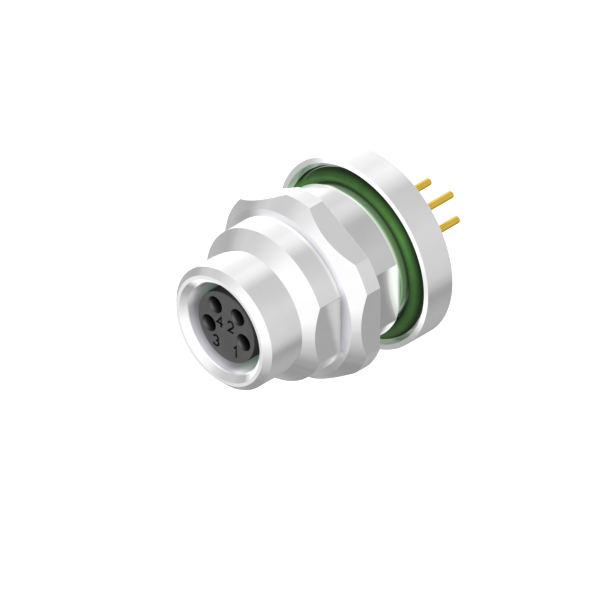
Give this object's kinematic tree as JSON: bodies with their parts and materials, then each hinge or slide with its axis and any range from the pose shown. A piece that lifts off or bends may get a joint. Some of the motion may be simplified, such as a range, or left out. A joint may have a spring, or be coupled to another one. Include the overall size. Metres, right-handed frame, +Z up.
{
  "type": "circular sensor connector",
  "caption": "Panel receptacle for a small screw plug: threaded round shell with flange, O-ring and hexagon nut, female contact insert, solder pins behind.",
  "frame": {"origin": "centre of the plane in which the flange seats on the panel", "axes": "+Y along the connector's axis from the mating face to the solder pins, +Z up, contacts 2 and 4 above the axis"},
  "size_m": [0.015, 0.0225, 0.015],
  "materials": {
    "nickel": "bright nickel plate on turned brass",
    "nickel_nut": "bright nickel plate on brass",
    "seal": "moulded fluoro rubber, green",
    "carrier": "moulded polyamide, dark grey",
    "potting": "cast resin, black",
    "gold": "gold plate on turned brass"
  },
  "bodies": {
    "shell": {"shell": "nickel", "panel_seal": "seal", "face_seal": "seal", "contact_carrier": "carrier", "rear_insulator": "carrier", "potting": "potting", "contact_1": "gold", "contact_2": "gold", "contact_3": "gold", "contact_4": "gold"},
    "nut": {"hex_nut": "nickel_nut"}
  },
  "joints": [
    {"name": "nut_turn", "type": "hinge", "parent": "shell", "child": "nut", "pos_m": [0, -0.0055, 0], "axis": [0, 1, 0], "continuous": true}
  ]
}
